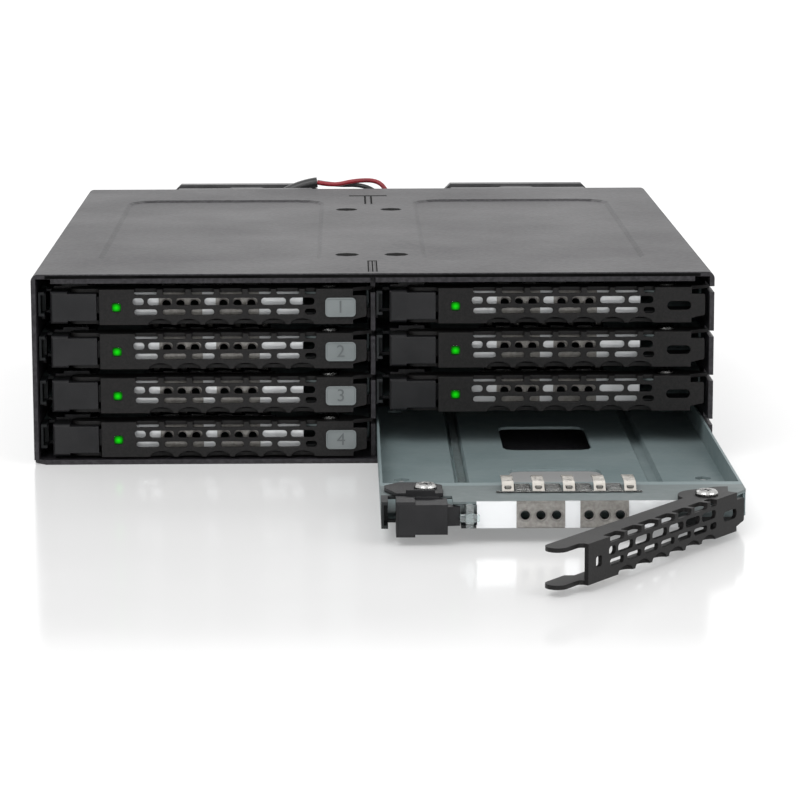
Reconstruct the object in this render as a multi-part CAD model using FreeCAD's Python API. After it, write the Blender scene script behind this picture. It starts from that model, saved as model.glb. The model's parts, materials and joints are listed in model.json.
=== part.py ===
"""Hot swap drive cage: eight 2.5 inch drive trays in two columns of four, for one half-height 5.25 inch bay.

Millimetres. X runs right, Y runs back from the front face, Z runs up from the underside.
Every piece is first modelled with Y = 0 at the front face; export() then moves the origin
to the centre of the four mounting holes in the underside.
"""

import FreeCAD, Part

import math
import os

Vector = FreeCAD.Vector

# ---------------------------------------------------------------- driving dimensions
cage_width = 146.0
cage_height = 41.3
cage_length = 159.7
sheet = 1.0                     # steel of the cover, base, divider and rear panel
cover_bend = 1.5                # outside radius of the cover's long bends
base_flange = 6.0               # the cover's inward flanges, which stand on the base
panel_gap = 0.05                # play between pieces that are pushed or screwed together

# the four rows and two columns of bays
rows = 4
rows_room = 2.9                 # height of the cage that the rows leave
lowest_bay = 1.45               # bottom line of the lowest bay above the underside
divider_thickness = 1.0

# mounting holes of a 5.25 inch device, M3
bottom_hole_inset = 3.15        # which sets them 139.7 apart
mount_hole_y = 79.25
first_hole_y = 47.4
side_hole_low = 9.91
side_hole_rise = 11.93
mount_hole_radius = 1.5

# drive tray, from the bay's bottom line and the bay's middle
tray_side_gap = 0.25
tray_sheet = 0.6
tray_wall = 0.5
tray_floor = 1.6
tray_height = 5.2
tray_front = 3.0
flange_depth = 18.0
window_width = 19.0
window_length = 27.0
window_radius = 2.5
window_starts = (27.0, 74.0)
window_x = 1.0
groove_depth = 1.05
groove_half = 1.9
groove_inset = 14.7             # right groove from the tray's right edge
drive_hole_x = 61.72
drive_hole_y = 76.6
drive_hole_back = 7.0           # last drive hole from the tray's rear edge
drive_hole_radius = 1.6
plate_x = (-5.0, 7.2)           # middles of the two perforated plates in the tray's front wall
plate_width = 9.3
plate_thickness = 0.3
vent_pitch = 3.0
vent_radius = 0.95

# lever, a channel of thin steel; its ends are measured from the tray's edges
lever_left_inset = 13.25
lever_right_inset = 0.65
lever_front = 0.5
lever_gauge = 0.8
lever_low = 0.05
lever_height = 7.6
lever_flange = 6.0
end_tab = 2.9
pivot_inset = 8.7
pivot_y = 4.3
pivot_ear = 5.5
tooth_reach = 9.3
prong_length = 6.5
prong_front = 2.2
slot_start = 9.9                # middle of the first slot from the lever's left end
slot_pitch = 6.08
slot_length = 4.9
wide_slot = 5.3
slot_short = 2.4
lamp_start = 3.65
lamp_z = 3.8
lamp_hole = 2.0
pipe_width = 1.6
grip_slot_inset = 5.55
grip_slot_z = 3.7
grip_slot_length = 5.1
grip_slot_height = 1.9
lever_opening = 60.0            # degrees from closed to fully open

# latch block
latch_inset = 2.8
latch_width = 9.85
latch_low = 0.35
latch_top = 7.2
latch_depth = 6.5
latch_pivot_inset = 8.65
latch_pivot_y = 11.6
prong_gap = 0.1

# pivot screws
screw_radius = 1.45
pivot_play = 0.05
head_radius = 2.1
head_height = 0.9

# the lowest tray of the right column stands pulled out with its lever swung open
open_row = 4
open_column = 2
pulled_out = 82.0
swung_open = 54.0

# backplane and connectors
rear_room = 17.2                # from the backplane's front to the rear panel's back
board = 1.6
socket_width = 42.0
socket_height = 5.6
socket_depth = 9.0
port_width = 14.6
port_height = 6.0
port_depth = 13.0
power_width = 24.0
port_room = 1.2                 # rows of ports stand this much closer than the bays
lowest_port = 7.2

# fans, as high as the cage allows
fan_room = 1.3
fan_depth = 15.0
fan_insets = (41.0, 33.5)       # left and right fan from the cage's sides
fan_lift = 0.5                  # above the cage's middle
fan_rim = 1.4
fan_flange = 3.4
hub_radius = 10.3
blade_count = 7
blade_gap = 0.6
shaft_radius = 1.0

# red and black fan lead
wire_radius = 0.6
sleeve_radius = 1.35

# small rounds that repeat are drawn with this many flats
few_sides = 6
pivot_sides = 8

# ---------------------------------------------------------------- worked out from them
half_width = cage_width / 2
inner_half = half_width - sheet
bay_pitch = (cage_height - rows_room) / rows
port_pitch = bay_pitch - port_room
bottom_hole_x = cage_width - 2 * bottom_hole_inset
fan_size = cage_height - fan_room
fan_bore = fan_size / 2 - fan_rim
fan_hole_pitch = fan_size * 0.8
cover_under = cage_height - sheet
bay_width = inner_half - divider_thickness / 2
column_x = (divider_thickness / 2 + bay_width / 2) * -1, divider_thickness / 2 + bay_width / 2
tray_half = bay_width / 2 - tray_side_gap
tray_top = tray_floor + tray_height
backplane_y = cage_length - rear_room
tray_back = backplane_y - socket_depth - 3.5
lever_left = -tray_half + lever_left_inset
lever_right = tray_half - lever_right_inset
lever_top = lever_low + lever_height
face_back = lever_front + lever_gauge
pivot_x = tray_half - pivot_inset
grip_slot_x = lever_right - grip_slot_inset
lamp_x = lever_left + lamp_start
slot_first = lever_left + slot_start
slot_count = int((grip_slot_x - 5.0 - slot_first) / slot_pitch)
groove_x = (lamp_x, tray_half - groove_inset)
wall_left = lever_left + 5.05
wall_right = pivot_x - 5.6
latch_left = -tray_half + latch_inset
latch_right = latch_left + latch_width
latch_pivot_x = -tray_half + latch_pivot_inset
origin_y = first_hole_y + mount_hole_y / 2
fan_x = (fan_insets[0] - half_width, half_width - fan_insets[1])
fan_z = cage_height / 2 + fan_lift


def bay_bottom(row):
    """Height of the bottom line of a bay; row 1 is the top one."""
    return lowest_bay + bay_pitch * (rows - row)


# ---------------------------------------------------------------- helpers
def box(x0, x1, y0, y1, z0, z1):
    return Part.makeBox(x1 - x0, y1 - y0, z1 - z0, Vector(x0, y0, z0))


def rod(radius, start, end):
    """A solid cylinder from one point to another."""
    start, end = Vector(*start), Vector(*end)
    return Part.makeCylinder(radius, (end - start).Length, start, end - start)


def prism(points, along):
    """A closed outline of 3-D points pushed along a vector."""
    outline = [Vector(*p) for p in points]
    face = Part.Face(Part.makePolygon(outline + outline[:1]))
    return face.extrude(Vector(*along))


def plan(points, z0, z1):
    """An outline in X and Y, pushed up from z0 to z1."""
    return prism([(x, y, z0) for x, y in points], (0, 0, z1 - z0))


def front_view(points, y0, y1):
    """An outline in X and Z, pushed back from y0 to y1."""
    return prism([(x, y0, z) for x, z in points], (0, y1 - y0, 0))


def side_view(points, x0, x1):
    """An outline in Y and Z, pushed from x0 to x1."""
    return prism([(x0, y, z) for y, z in points], (x1 - x0, 0, 0))


def arc_points(centre, radius, start, end, steps):
    """Points on an arc, from one angle to another in degrees: a small round drawn with flats."""
    angles = [math.radians(start + (end - start) * k / steps) for k in range(steps + 1)]
    return [(centre[0] + radius * math.cos(a), centre[1] + radius * math.sin(a)) for a in angles]


def corner_points(x0, x1, y0, y1, radius, steps):
    """A rectangle with each corner drawn by a few flats."""
    centres = ((x1 - radius, y1 - radius), (x0 + radius, y1 - radius), (x0 + radius, y0 + radius), (x1 - radius, y0 + radius))
    points = []
    for quarter, centre in enumerate(centres):
        points += arc_points(centre, radius, 90 * quarter, 90 * quarter + 90, steps)
    return points


def flat_sided(radius, start, end, sides=few_sides, hole=False):
    """A small rod of a few flats, with its corners on the radius, or as a hole with its flats there."""
    reach = radius / math.cos(math.pi / sides) if hole else radius
    start, end = Vector(*start), Vector(*end)
    prism_up = plan(arc_points((0, 0), reach, 180 / sides, 360 - 180 / sides, sides - 1), 0, (end - start).Length)
    prism_up.Placement = FreeCAD.Placement(start, FreeCAD.Rotation(Vector(0, 0, 1), end - start))
    return prism_up


def tapered(low, high):
    """A solid between two outlines that have the same corners in the same order."""
    faces = [Part.Face(Part.makePolygon(ring + ring[:1])) for ring in (low, high)]
    for k in range(len(low)):
        corners = [low[k - 1], low[k], high[k], high[k - 1]]
        faces.append(Part.Face(Part.makePolygon(corners + corners[:1])))
    shell = Part.makeShell(faces)
    shell.sewShape()
    solid = Part.makeSolid(shell)
    return solid if solid.Volume > 0 else solid.reversed()


def sloped_disc(radius0, radius1, x, y, z0, z1, sides):
    """A flat-sided cone frustum about an upright line."""
    rings = [[Vector(*p, z) for p in arc_points((x, y), radius, 0, 360 - 360 / sides, sides - 1)]
             for radius, z in ((radius0, z0), (radius1, z1))]
    return tapered(*rings)


def turned(shape, centre, axis, degrees):
    copy = shape.copy()
    copy.rotate(Vector(*centre), Vector(*axis), degrees)
    return copy


def moved(shape, x, y, z):
    return shape.translated(Vector(x, y, z))


def merged(shapes):
    return shapes[0].fuse(shapes[1:]).removeSplitter()


def export(name, *solids):
    """One STEP file per node, with the origin at the middle of the underside's mounting holes."""
    group = Part.makeCompound([moved(s, 0, -origin_y, 0) for s in solids])
    group = group.Solids[0] if len(group.Solids) == 1 else Part.makeCompound(group.Solids)
    group.exportStep(os.path.join("parts", name + ".step"))


# ---------------------------------------------------------------- cover, base and divider
ear_y = (30.0, cage_length - 45.7)  # the divider's ears, which the cover is screwed down on
ear_x = 5.5
ear_length = 8.0
ear_reach = 9.0
ear_gauge = 0.8
cover_screw_head = 2.75
cover_screw = 1.5
tab_front = (2.5, 19.0)         # the divider's tabs, which fill slots in the cover
tab_back = (backplane_y - 17.0, backplane_y - 0.5)
board_tab = 4.8                 # half width of the backplane's tab in the cover
pan_x = (11.2, half_width - 12.5)  # stamped pans of the cover
pan_y = (19.7, cage_length - 24.7)
pan_radius = 7.0
pan_depth = 0.5
pan_slope = 1.0
notch_depth = 9.2               # open notches in the front edges, for the lever's tooth
notch_low = 6.6
notch_high = 7.9
flange_notch = 1.8              # room in the cover's flanges round each mounting hole in the base
hem_depth = 6.0                 # the cover's front edge is folded back under itself
hem_inset = 3.2


def tooth_notches(x0, x1):
    """Front notches beside each bay, where a lever's tooth takes hold."""
    cuts = []
    for row in range(1, rows + 1):
        z = bay_bottom(row)
        cuts.append(box(x0, x1, -1, notch_depth, z + notch_low, z + notch_high))
    return cuts


def pan_recess(side):
    """A stamped pan with sloped sides on the left (-1) or right (1)."""
    x0, x1 = sorted((side * pan_x[0], side * pan_x[1]))
    rings = []
    for inset, z in ((pan_slope, cage_height - pan_depth), (0, cage_height)):
        y0, y1 = pan_y[0] + inset, pan_y[1] - inset
        rings.append([Vector(*p, z) for p in corner_points(x0 + inset, x1 - inset, y0, y1, pan_radius - inset, 3)])
    return tapered(*rings)


def pan_underside(side):
    """The same pan seen from below, where its sheet bulges."""
    x0, x1 = sorted((side * pan_x[0], side * pan_x[1]))
    points = corner_points(x0, x1, pan_y[0], pan_y[1], pan_radius, 2)
    return plan(points, cover_under - pan_depth, cover_under)


def cover():
    """Top and sides in one bent sheet, with narrow flanges that stand on the base."""
    outer = box(-half_width, half_width, 0, cage_length, sheet, cage_height)
    inner = box(-inner_half, inner_half, 0, cage_length, 2 * sheet, cover_under)
    along = [e for e in outer.Edges if abs(e.tangentAt(e.FirstParameter).y) > 0.99]
    top_edges = [e for e in along if e.CenterOfMass.z > sheet * 2]
    outer = outer.makeFillet(cover_bend, top_edges)
    body = outer.cut(inner)
    slot = divider_thickness / 2 + panel_gap
    hems = [box(*sorted((side * slot, side * (inner_half - hem_inset))), 0, hem_depth, cover_under - sheet, cover_under)
            for side in (-1, 1)]
    body = merged([body] + hems + [pan_underside(side) for side in (-1, 1)])

    flange_edge = inner_half - base_flange
    cuts = [box(-flange_edge, flange_edge, -1, cage_length + 1, 0, 2 * sheet + 0.1)]
    cuts.append(box(-inner_half, inner_half, -1, 2 * notch_depth, 0, 2 * sheet + 0.1))
    for side in (-1, 1):
        cuts.append(pan_recess(side))
        for y in ear_y:
            cuts.append(sloped_disc(cover_screw, cover_screw_head, side * ear_x, y, cover_under, cage_height, pivot_sides))
        for y in (first_hole_y, first_hole_y + mount_hole_y):
            for z in (side_hole_low, side_hole_low + side_hole_rise):
                cuts.append(rod(mount_hole_radius, (side * (inner_half - 1), y, z),
                                (side * (half_width + 1), y, z)))
            x0, x1 = sorted((side * flange_edge, side * (bottom_hole_x / 2 + flange_notch)))
            cuts.append(box(x0, x1, y - flange_notch, y + flange_notch, sheet, 2 * sheet))
    for y0, y1 in (tab_front, tab_back):
        cuts.append(box(-slot, slot, y0 - panel_gap, y1 + panel_gap, cover_under - 1, cage_height + 1))
    cuts.append(box(-board_tab - panel_gap, board_tab + panel_gap, backplane_y - panel_gap,
                    backplane_y + board + panel_gap, cover_under - 1, cage_height + 1))
    cuts += tooth_notches(inner_half - 0.1, half_width + 1)
    return body.cut(cuts)


def base():
    """Flat base sheet with its mounting holes and clipped front corners."""
    corner = 2.5
    outline = [(-half_width + corner, 0), (half_width - corner, 0), (half_width, corner),
               (half_width, cage_length), (-half_width, cage_length), (-half_width, corner)]
    cuts = []
    for side in (-1, 1):
        for y in (first_hole_y, first_hole_y + mount_hole_y):
            x = side * bottom_hole_x / 2
            cuts.append(rod(mount_hole_radius, (x, y, -1), (x, y, 2 * sheet)))
    return plan(outline, 0, sheet).cut(cuts)


def divider():
    """Upright sheet between the columns, with tabs through the cover and ears for its screws."""
    half = divider_thickness / 2
    end = backplane_y - panel_gap
    top = cover_under
    outline = [(tab_front[0], sheet), (end, sheet), (end, top), (tab_back[1], top),
               (tab_back[1], cage_height), (tab_back[0], cage_height), (tab_back[0], top),
               (tab_front[1], top), (tab_front[1], cage_height), (tab_front[0], cage_height)]
    wall = side_view(outline, -half, half)
    ears = []
    for side in (-1, 1):
        for y in ear_y:
            x0, x1 = sorted((0, side * (half + ear_reach)))
            ear = box(x0, x1, y - ear_length / 2, y + ear_length / 2, top - ear_gauge, top)
            hole = flat_sided(cover_screw, (side * ear_x, y, top - 2), (side * ear_x, y, top + 1), pivot_sides, True)
            ears.append(ear.cut(hole))
    body = merged([wall] + ears)
    return body.cut(tooth_notches(-half - 1, half + 1))


rail_reach = 2.2                # guide rails: angles under the side edges of each tray
rail_gauge = 0.7
rail_drop = 2.3
rail_start = 14.0
rail_gap = 7.4                  # room for a screw beside each side hole
rail_runs = ((rail_start, first_hole_y - rail_gap), (first_hole_y + rail_gap, first_hole_y + mount_hole_y - rail_gap))


def rails():
    """An angle on each side of each bay; those on the cover stop short of its side holes."""
    pieces = []
    for x in column_x:
        for row in range(1, rows + 1):
            top = bay_bottom(row) + tray_floor - panel_gap
            drop = min(rail_drop, top - 2 * sheet)
            for side in (-1, 1):
                wall = x + side * bay_width / 2
                inward = wall - side * rail_reach
                leg = wall - side * rail_gauge
                outline = [(wall, top), (inward, top), (inward, top - rail_gauge),
                           (leg, top - rail_gauge), (leg, top - drop), (wall, top - drop)]
                outside = abs(wall) > bay_width / 2 + divider_thickness
                runs = rail_runs if outside else [(rail_runs[0][0], rail_runs[-1][1])]
                pieces += [front_view(outline, y0, y1) for y0, y1 in runs]
    return pieces


# ---------------------------------------------------------------- rear panel and backplane
panel_fold = 9.0                # the rear panel's side folds, inside the cover
duct_lip = 0.6                  # the rear panel's openings are this much smaller than the fans' bores
duct_sides = 24
data_ports = [(9.0 - inner_half, lowest_port + k * port_pitch) for k in range(4)]
data_ports += [(x, lowest_port + k * port_pitch - 2.4) for x in (-3.9, 11.9) for k in (2, 3)]
power_ports = [(4.0, lowest_port - 1.5), (4.0, lowest_port - 1.5 + port_pitch)]
port_play = 0.3
header_x = 5.0
header_z = cage_height - 4.0
header_width = 7.6
header_height = 4.4
header_depth = 5.0
plug_depth = 7.0
lead_notch = (header_x - 4.2, header_x + 4.6, header_z - 2.9)


def rear_panel():
    """Rear sheet with fan ducts, port windows and side folds."""
    y0, y1 = cage_length - sheet, cage_length
    low, high = 2 * sheet + panel_gap, cover_under - panel_gap
    wide = inner_half - panel_gap
    pieces = [box(-wide, wide, y0, y1, low, high)]
    for side in (-1, 1):
        x0, x1 = sorted((side * wide, side * (wide - sheet)))
        pieces.append(box(x0, x1, y0 - panel_fold, y1, low, high))
    cuts = []
    for x in fan_x:
        cuts.append(flat_sided(fan_bore - duct_lip, (x, y0 - 1, fan_z), (x, y1 + 1, fan_z), duct_sides))
        for u, v in fan_holes(x):
            cuts.append(flat_sided(fan_screw, (u, y0 - 1, v), (u, y1 + 1, v), hole=True))
    for ports, width in ((data_ports, port_width), (power_ports, power_width)):
        for x, z in ports:
            half_w, half_h = width / 2 + port_play, port_height / 2 + port_play
            cuts.append(box(x - half_w, x + half_w, y0 - 1, y1 + 1, z - half_h, z + half_h))
    cuts.append(box(lead_notch[0], lead_notch[1], y0 - 1, y1 + 1, lead_notch[2], cage_height))
    return merged(pieces).cut(cuts)


def backplane():
    """Circuit board across the cage, with air windows beside the drive sockets."""
    y0, y1 = backplane_y, backplane_y + board
    low, high = 2 * sheet + panel_gap, cover_under - panel_gap
    wide = inner_half - panel_gap
    tab = box(-board_tab, board_tab, y0, y1, high - 1, cage_height)
    body = merged([box(-wide, wide, y0, y1, low, high), tab])
    cuts = []
    for x in column_x:
        for side in (-1, 1):
            middle = x + side * (socket_width / 2 + 6.5)
            for z in (bay_bottom(4) + 1.8, bay_bottom(2) + 1.8):
                cuts.append(box(middle - 4.5, middle + 4.5, y0 - 1, y1 + 1, z, z + 14.5))
    return body.cut(cuts)


def hollow_socket(width, height, depth, y0, rim, tongue):
    """A shell open towards lower Y with a contact tongue inside."""
    shell = box(-width / 2, width / 2, y0, y0 + depth, -height / 2, height / 2)
    pocket = box(-width / 2 + rim, width / 2 - rim, y0 - 1, y0 + depth - 2,
                 -height / 2 + rim, height / 2 - rim)
    blade = box(-width / 2 + 2 * rim, width / 2 - 2 * rim, y0 + 1.0, y0 + depth - 1.5,
                -tongue / 2, tongue / 2)
    return merged([shell.cut(pocket), blade])


def drive_sockets():
    """One 22 contact socket per bay on the front of the backplane."""
    one = hollow_socket(socket_width, socket_height, socket_depth, backplane_y - socket_depth, 1.3, 1.0)
    return [moved(one, x, 0, bay_bottom(row) + 5.7) for x in column_x for row in range(1, rows + 1)]


def rear_sockets(places, width):
    """Plug sockets on the back of the backplane, open to the rear."""
    one = hollow_socket(width, port_height, port_depth, 0, 1.2, 1.0)
    one = turned(one, (0, 0, 0), (0, 0, 1), 180)
    back = backplane_y + board + port_depth
    return [moved(one, x, back, z) for x, z in places]


def fan_plug():
    """Header on the board with the lead's plug pushed into it."""
    y = backplane_y + board
    half_w, half_h = header_width / 2, header_height / 2
    header = box(header_x - half_w, header_x + half_w, y, y + header_depth,
                 header_z - half_h, header_z + half_h)
    plug = box(header_x - half_w + 0.6, header_x + half_w - 0.6, y + header_depth,
               y + header_depth + plug_depth, header_z - half_h + 0.5, header_z + half_h - 0.5)
    return [header, plug]


# ---------------------------------------------------------------- fans
fan_screw = 1.6
fan_screw_head = 2.8
strut_gauge = 2.0
stator_gauge = 2.4
hub_gauge = 1.2
hub_length = 9.5
bearing_radius = 3.0
bearing_length = 6.0
blade_pitch = 42.0
root_chord = 8.0
tip_chord = 11.0
blade_gauge = 0.9
fan_corner = 2.6


def fan_holes(x):
    """Middles of a fan's four corner holes, in X and Z."""
    return [(x + dx * fan_hole_pitch / 2, fan_z + dz * fan_hole_pitch / 2) for dx in (-1, 1) for dz in (-1, 1)]


def fan_frame(x):
    """Square fan housing: two flanges on a round duct, with the motor plate on struts at the rear."""
    y0, y1 = cage_length, cage_length + fan_depth
    half = fan_size / 2
    outline = corner_points(-half, half, -half, half, fan_corner, 1)
    flanges = []
    for start in (y0, y1 - fan_flange):
        flanges.append(front_view([(x + u, fan_z + v) for u, v in outline], start, start + fan_flange))
    duct = flat_sided(half - 0.2, (x, y0, fan_z), (x, y1, fan_z), 2 * pivot_sides)
    bore = flat_sided(fan_bore, (x, y0 - 1, fan_z), (x, y1 + 1, fan_z), duct_sides, True)
    body = merged(flanges + [duct]).cut(bore)
    plate_y = y1 - stator_gauge
    struts = []
    for k in range(3):
        strut = box(-strut_gauge / 2, strut_gauge / 2, plate_y, y1, 0, fan_bore + 0.4)
        struts.append(moved(turned(strut, (0, 0, 0), (0, 1, 0), 30 + 120 * k), x, 0, fan_z))
    plate = flat_sided(hub_radius, (x, plate_y, fan_z), (x, y1, fan_z), pivot_sides + 4)
    bearing = flat_sided(bearing_radius, (x, plate_y - bearing_length, fan_z), (x, plate_y, fan_z), pivot_sides)
    body = merged([body, plate, bearing] + struts)
    holes = [flat_sided(shaft_radius + pivot_play, (x, plate_y - bearing_length - 1, fan_z), (x, plate_y, fan_z), hole=True)]
    for u, v in fan_holes(x):
        holes.append(flat_sided(fan_screw, (u, y0 - 1, v), (u, y1 + 1, v), hole=True))
    return body.cut(holes)


def fan_rotor(x):
    """Cup hub with its shaft and pitched blades."""
    plate_y = cage_length + fan_depth - stator_gauge
    back = plate_y - 0.6
    front = back - hub_length
    hub = flat_sided(hub_radius, (0, front, 0), (0, back, 0), 2 * pivot_sides)
    hollow = flat_sided(hub_radius - hub_gauge, (0, front + hub_gauge, 0), (0, back + 1, 0), 2 * pivot_sides)
    shaft = rod(shaft_radius, (0, front + hub_gauge / 2, 0), (0, plate_y - 0.5, 0))
    blades = []
    pitch = math.radians(blade_pitch)
    for k in range(blade_count):
        sections = []
        for radius, chord in ((hub_radius - 0.6, root_chord), (fan_bore - blade_gap - 0.6, tip_chord)):
            points = []
            for along, across in ((-1, -1), (1, -1), (1, 1), (-1, 1)):
                u, v = along * chord / 2, across * blade_gauge / 2
                y = (front + back) / 2 + u * math.sin(pitch) + v * math.cos(pitch)
                points.append(Vector(u * math.cos(pitch) - v * math.sin(pitch), y, radius))
            sections.append(points)
        blade = tapered(*sections)
        blades.append(turned(blade, (0, 0, 0), (0, 1, 0), 360.0 * k / blade_count))
    cup = hub.cut(hollow).fuse(shaft)
    return moved(merged([cup] + blades), x, 0, fan_z)


# ---------------------------------------------------------------- screws of the cage
def cage_screws():
    """Flush screws of the cover and pan-head screws that hold the fans."""
    screws = []
    play = panel_gap
    for side in (-1, 1):
        for y in ear_y:
            x = side * ear_x
            head = sloped_disc(cover_screw - play, cover_screw_head - play, x, y, cover_under, cage_height, pivot_sides)
            shank = flat_sided(cover_screw - play, (x, y, cover_under - ear_gauge), (x, y, cover_under))
            screws.append(merged([head, shank]))
    y0, y1 = cage_length - sheet, cage_length + fan_depth
    for x in fan_x:
        for u, v in fan_holes(x)[1:3]:
            shank = flat_sided(fan_screw - play, (u, y0 - 1.5, v), (u, y1, v))
            head = flat_sided(fan_screw_head, (u, y1, v), (u, y1 + 1.4, v), pivot_sides)
            screws.append(merged([shank, head]))
    return screws


# ---------------------------------------------------------------- tray, around its bay's middle
front_limit = 2.85              # nothing of the tray stands further out from the lever's pivot
tray_right_start = 14.0
latch_bay_inset = 1.3
latch_bay_width = 14.0
latch_bay = (latch_bay_inset - tray_half, latch_bay_inset + latch_bay_width - tray_half)  # where the latch block sits
latch_bay_back = 8.6
lip_y = 7.0                     # upright lip left of the latch block


def clear_line(x):
    """Front limit of the tray right of the pivot, where the open lever's face stands."""
    slope = math.radians(lever_opening)
    return pivot_y + (math.sin(slope) * (x - pivot_x) - front_limit) / math.cos(slope)


def groove_points(x, half, depth, z):
    """The four corners of a pressed groove in the tray's sheet."""
    return [(x - half, z), (x - half + 0.6, z - depth), (x + half - 0.6, z - depth), (x + half, z)]


def tray():
    """Tray of thin steel: grooved floor, low side walls, front wall and top flange."""
    low, high = tray_floor, tray_floor + tray_sheet
    groove_start = tray_front + flange_depth + 1.0
    inner_half_groove = groove_half - 0.35
    under = [(-tray_half, high), (-tray_half, low)]
    over = [(tray_half, low), (tray_half, high)]
    for x in groove_x:
        under += groove_points(x, groove_half, groove_depth, low)
    for x in reversed(groove_x):
        over += reversed(groove_points(x, inner_half_groove, groove_depth, high))
    floor = front_view(under + over, groove_start, tray_back)

    edge = pivot_x + (front_limit + math.cos(math.radians(lever_opening)) * (tray_front - pivot_y)) / math.sin(
        math.radians(lever_opening))
    corner_y = clear_line(tray_half)
    front_floor = plan([
        (-tray_half, tray_front), (latch_bay[0], tray_front), (latch_bay[0], latch_bay_back),
        (latch_bay[1], latch_bay_back), (latch_bay[1], tray_front), (edge, tray_front),
        (tray_half, corner_y), (tray_half, groove_start), (-tray_half, groove_start)], low, high)

    nose = arc_points((pivot_x, pivot_y), front_limit * math.cos(math.pi / 24), -90, lever_opening - 90, 4)
    flange = plan([
        (-tray_half, tray_front), (latch_bay[0], tray_front), (latch_bay[0], latch_bay_back),
        (latch_bay[1] - 1.6, latch_bay_back),
        (latch_bay[1] - 1.6, tray_front), (wall_right + 0.5, tray_front),
        (pivot_x - 3.0, pivot_y - front_limit)] + nose + [(tray_half, corner_y),
        (tray_half, tray_front + flange_depth), (-tray_half, tray_front + flange_depth)],
        tray_top - tray_sheet, tray_top)

    left_wall = box(-tray_half, -tray_half + tray_wall, tray_front, tray_back, low, tray_top)
    right_wall = box(tray_half - tray_wall, tray_half, tray_right_start, tray_back, low, tray_top)
    left_lip = box(-tray_half, latch_bay[0], lip_y, lip_y + tray_sheet, low, tray_top)
    front_wall = box(wall_left, wall_right, tray_front, tray_front + tray_sheet, low, tray_top)
    plates = [box(x - plate_width / 2, x + plate_width / 2, tray_front - plate_thickness, tray_front,
                  low + 0.2, tray_top - 0.3) for x in plate_x]
    body = merged([floor, front_floor, flange, left_wall, right_wall, left_lip, front_wall] + plates)

    cuts = []
    for start in window_starts:
        y = tray_front + start
        x = window_x - window_width / 2
        window = corner_points(x, x + window_width, y, y + window_length, window_radius, 2)
        cuts.append(plan(window, low - 0.5, high + 0.5))
    for x in (-drive_hole_x / 2, drive_hole_x / 2):
        for y in (tray_back - drive_hole_back - drive_hole_y, tray_back - drive_hole_back):
            cuts.append(flat_sided(drive_hole_radius, (x, y, low - 1), (x, y, high + 1), hole=True))
    vent_z = (low + tray_top) / 2
    for x in plate_x:
        for k in (-1, 0, 1):
            vent = x + k * vent_pitch
            cuts.append(flat_sided(vent_radius, (vent, tray_front - 1, vent_z), (vent, tray_front + 1, vent_z), hole=True))
    return body.cut(cuts)


finger_pitch = 5.93
finger_width = 2.2
finger_slope = 5.0              # degrees
strip_front = 11.2
strip_gauge = 0.25


def tray_fittings():
    """Both pivot screws and the comb of spring fingers on the tray's flange."""
    pieces = []
    for x, y in ((pivot_x, pivot_y), (latch_pivot_x, latch_pivot_y)):
        seat = lever_top + pivot_play
        shank = flat_sided(screw_radius, (x, y, tray_top), (x, y, seat), pivot_sides)
        head = flat_sided(head_radius, (x, y, seat), (x, y, seat + head_height), pivot_sides)
        pieces.append(merged([shank, head]))
    half = finger_width / 2
    band, tips = strip_front + 2.6, tray_front + flange_depth - 0.6
    comb = [(window_x - 2 * finger_pitch - half, strip_front)]
    for k in range(-2, 3):
        x = window_x + k * finger_pitch
        comb += [(x - half, band), (x - half, tips), (x + half, tips), (x + half, band)]
    comb = comb[:1] + comb[2:-1] + [(window_x + 2 * finger_pitch + half, strip_front)]
    strip = plan(comb, tray_top, tray_top + strip_gauge)
    pieces.append(turned(strip, (window_x, strip_front, tray_top), (1, 0, 0), finger_slope))
    return pieces


def light_pipe():
    """Clear bar from the lever's lamp hole down into the tray's left groove and back along it."""
    half = pipe_width / 2
    tip, back = lever_front + 0.2, tray_back - 1.0
    groove_low = tray_floor + tray_sheet - groove_depth + panel_gap
    groove_top = tray_floor + tray_sheet - panel_gap
    over = tray_floor + tray_sheet + panel_gap
    drop = tray_front + flange_depth + 1.0 + panel_gap
    outline = [(tip, lamp_z - half), (tray_front + 7, lamp_z - half), (drop, over), (drop, groove_low + 0.3),
               (drop + 0.3, groove_low), (back, groove_low), (back, groove_top), (drop + 2.0, groove_top),
               (tray_front + 7.6, lamp_z + half), (tip, lamp_z + half)]
    return side_view(outline, lamp_x - half, lamp_x + half)


# ---------------------------------------------------------------- lever
def slot(x, half, low, high):
    """Long hole through the lever's face."""
    return box(x - half, x + half, lever_front - 1, face_back + 0.1, low, high)


def flange_outline(back, with_ear):
    """Plan of a lever flange with its rounded prong, and with the pivot ear and tooth on top."""
    prong_back = lever_front + lever_flange
    radius = (prong_back - prong_front) / 2
    centre = (lever_left - prong_length + radius, prong_front + radius)
    points = [(lever_right - end_tab, lever_front), (lever_left, lever_front), (lever_left, prong_front - 0.6),
              (lever_left - 0.8, prong_front)]
    points += arc_points(centre, radius, -90, -270, 4) + [(lever_left + 1.5, prong_back)]
    if with_ear:
        leave = math.degrees(math.acos((back - pivot_y) / pivot_ear)) + 90
        points += arc_points((pivot_x, pivot_y), pivot_ear, leave, 45, 4)
        points += [(pivot_x + tooth_reach - 1.8, pivot_y + 2.6), (pivot_x + tooth_reach, pivot_y + 0.6),
                   (lever_right - end_tab, pivot_y - 1.8)]
    else:
        points += [(lever_left + 2.5, back), (lever_right - end_tab, back)]
    return points


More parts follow.
